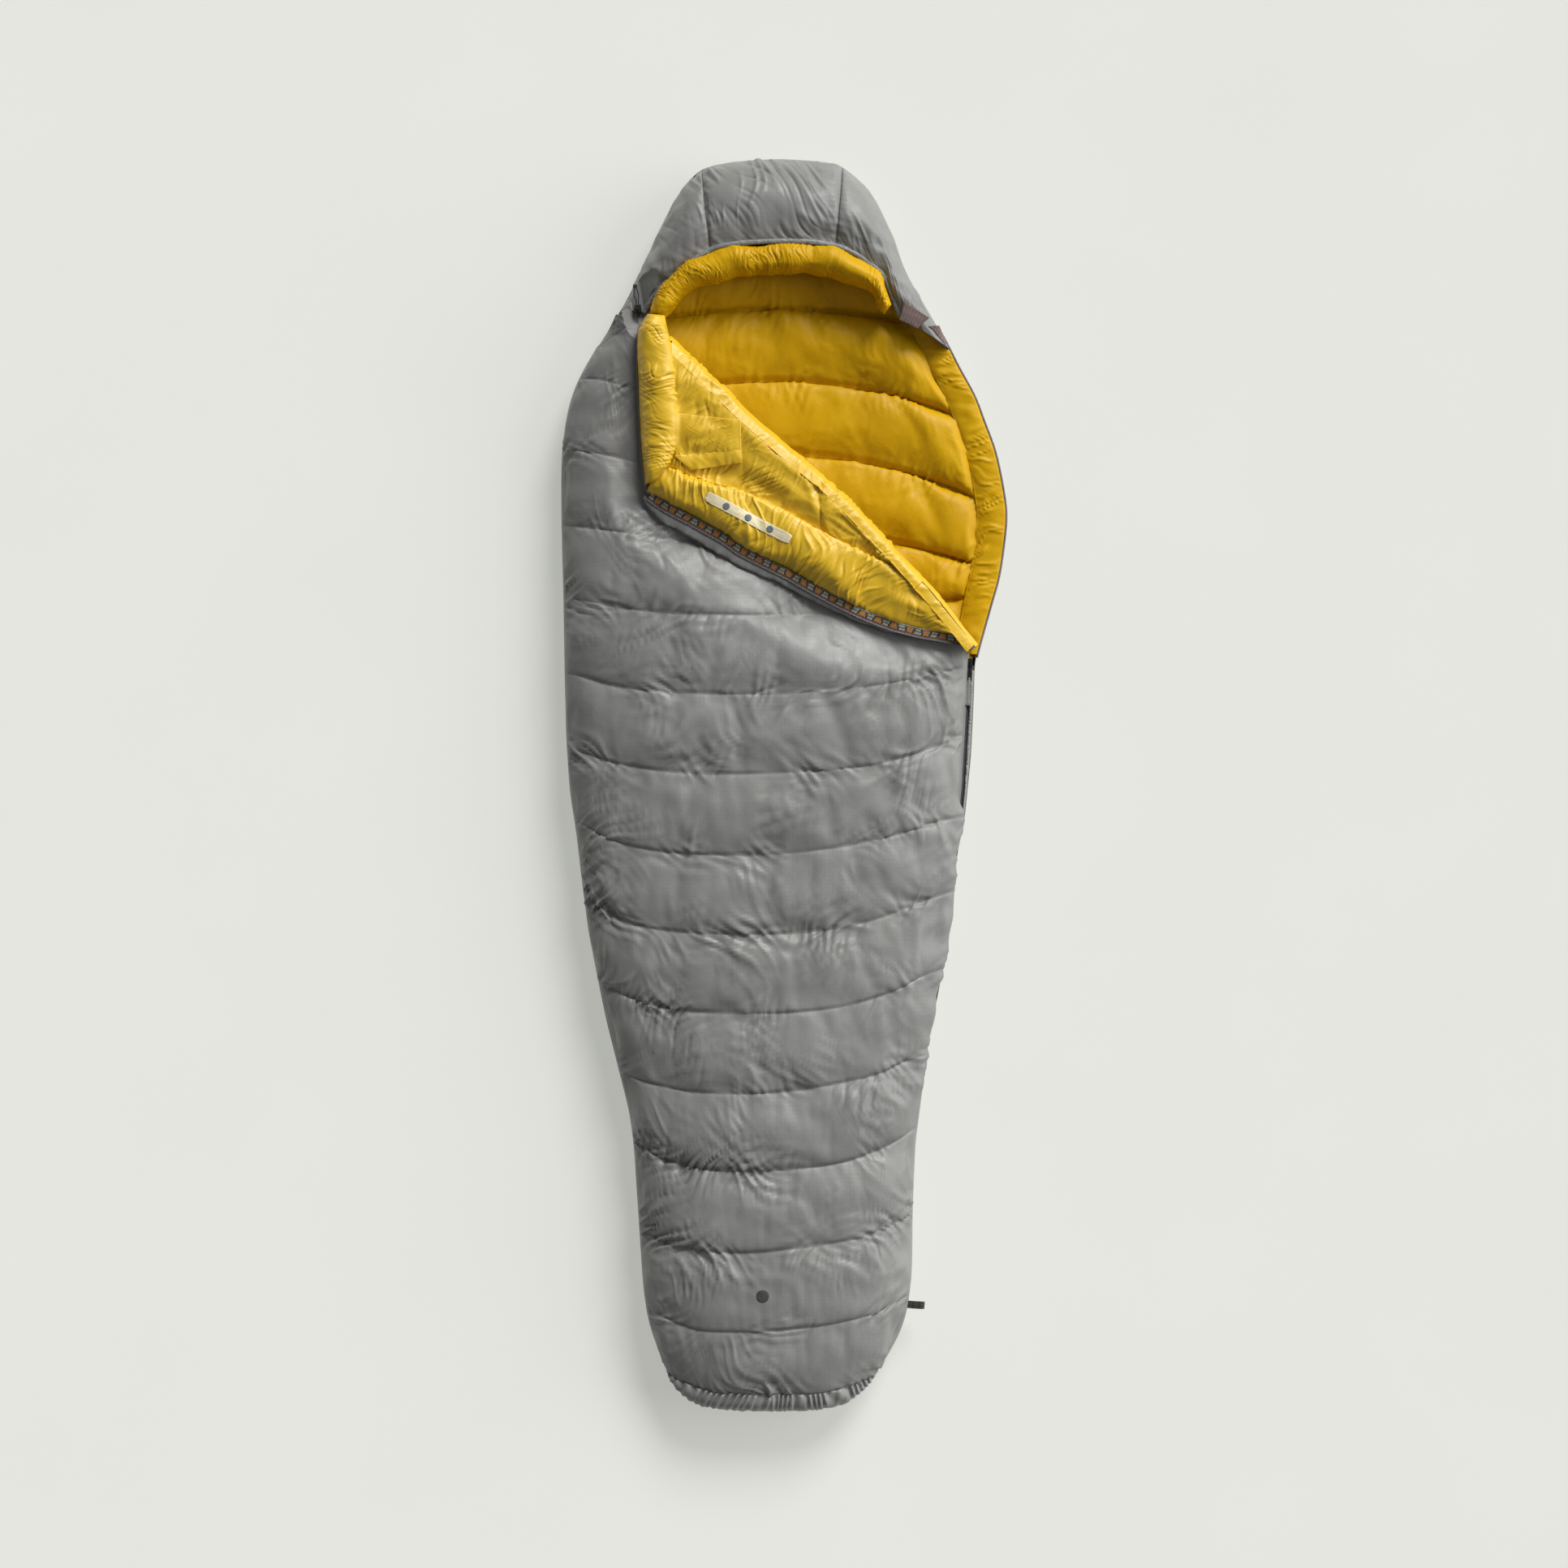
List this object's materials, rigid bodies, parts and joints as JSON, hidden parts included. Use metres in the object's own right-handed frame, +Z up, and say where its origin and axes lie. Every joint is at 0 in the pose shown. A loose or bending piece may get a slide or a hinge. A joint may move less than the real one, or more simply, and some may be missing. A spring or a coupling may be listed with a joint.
{
  "type": "mummy sleeping bag",
  "caption": "Quilted mummy sleeping bag laid flat, front corner folded open, with hood, side zip, collar, pocket and foot loop.",
  "frame": {"origin": "on the ground, under the middle of the bag's overall length and width", "axes": "+Y towards the hood, +X towards the zip side, +Z up from the ground the bag lies on"},
  "size_m": [0.7696, 2.1616, 0.1582],
  "materials": {
    "shell_fabric": "grey downproof nylon taffeta with a soft satin sheen",
    "lining_fabric": "mustard yellow nylon taffeta, glossy satin",
    "down_fill": "loose down clusters",
    "zip_tape": "woven polyester tape",
    "zip_coil": "nylon coil",
    "zip_metal": "black enamel",
    "spring_steel": "plain",
    "puller_fabric": "folded grosgrain",
    "hook_and_loop": "napped hook-and-loop",
    "webbing": "woven tape",
    "drawcord": "braided cord",
    "black_plastic": "moulded"
  },
  "bodies": {
    "root": {"back_shell": "shell_fabric", "front_shell": "shell_fabric", "footbox_panel": "shell_fabric", "hood_left_panel": "shell_fabric", "hood_centre_panel": "shell_fabric", "hood_right_panel": "shell_fabric", "hood_brim_binding": "shell_fabric", "back_lining": "lining_fabric", "front_lining": "lining_fabric", "hood_face_tube": "lining_fabric", "zip_facing_strip": "lining_fabric", "back_down_foot": "down_fill", "back_down_calf": "down_fill", "back_down_thigh": "down_fill", "back_down_hip": "down_fill", "back_down_chest": "down_fill", "back_down_head": "down_fill", "front_down_chamber_01": "down_fill", "front_down_chamber_02": "down_fill", "front_down_chamber_03": "down_fill", "front_down_chamber_04": "down_fill", "front_down_chamber_05": "down_fill", "front_down_chamber_06": "down_fill", "front_down_chamber_07": "down_fill", "front_down_chamber_08": "down_fill", "front_down_chamber_09": "down_fill", "front_down_chamber_10": "down_fill", "front_down_chamber_11": "down_fill", "front_down_chamber_12": "down_fill", "front_down_chamber_13": "down_fill", "front_down_chamber_14": "down_fill", "back_zip_tape": "zip_tape", "closed_zip_tape_front": "zip_tape", "closed_zip_tape_back": "zip_tape", "back_zip_coil": "zip_coil", "closed_zip_coil_front": "zip_coil", "closed_zip_coil_back": "zip_coil", "zip_bottom_stop": "spring_steel", "neck_loop_patch": "hook_and_loop", "foot_hang_loop": "webbing", "hood_drawcord": "drawcord"},
    "flap": {"flap_shell": "shell_fabric", "flap_down_upper": "down_fill", "flap_down_lower": "down_fill", "flap_lining": "lining_fabric", "collar_tube": "lining_fabric", "flap_draft_tube": "lining_fabric", "pocket_patch": "lining_fabric", "pocket_hem": "lining_fabric", "flap_zip_tape": "zip_tape", "flap_zip_coil": "zip_coil"},
    "slider": {"slider_body": "zip_metal"},
    "slider_pull": {"slider_pull": "zip_metal", "puller_tab": "puller_fabric"},
    "cord_lock": {"cord_lock_body": "black_plastic", "cord_lock_spring": "spring_steel"},
    "cord_lock_button": {"cord_lock_button": "black_plastic"},
    "neck_tab": {"neck_tab": "hook_and_loop"}
  },
  "joints": [
    {"name": "flap_fold", "type": "hinge", "parent": "root", "child": "flap", "pos_m": [0.3388, 0.2366, 0.11], "axis": [-0.6894, 0.7244, 0], "range_deg": [0, 180]},
    {"name": "slider_travel", "type": "slide", "parent": "root", "child": "slider", "axis": [-0.0583, -0.9983, 0], "range_m": [0, 0.2]},
    {"name": "pull_swing", "type": "hinge", "parent": "slider", "child": "slider_pull", "pos_m": [0.32138, 0.2066, 0.0612], "axis": [-0.9983, 0.0583, 0], "range_deg": [0, 170]},
    {"name": "neck_tab_fold", "type": "hinge", "parent": "root", "child": "neck_tab", "pos_m": [0.208, 0.83, 0.1043], "axis": [-0.8291, 0.5591, 0], "range_deg": [0, 150]},
    {"name": "cord_lock_slide", "type": "slide", "parent": "root", "child": "cord_lock", "axis": [-0.1395, 0.9902, 0], "range_m": [0, 0.024]},
    {"name": "cord_lock_press", "type": "slide", "parent": "cord_lock", "child": "cord_lock_button", "axis": [0, 0, -1], "range_m": [0, 0.002], "stiffness_N_per_m": 400, "deforming": ["cord_lock_spring"]}
  ]
}
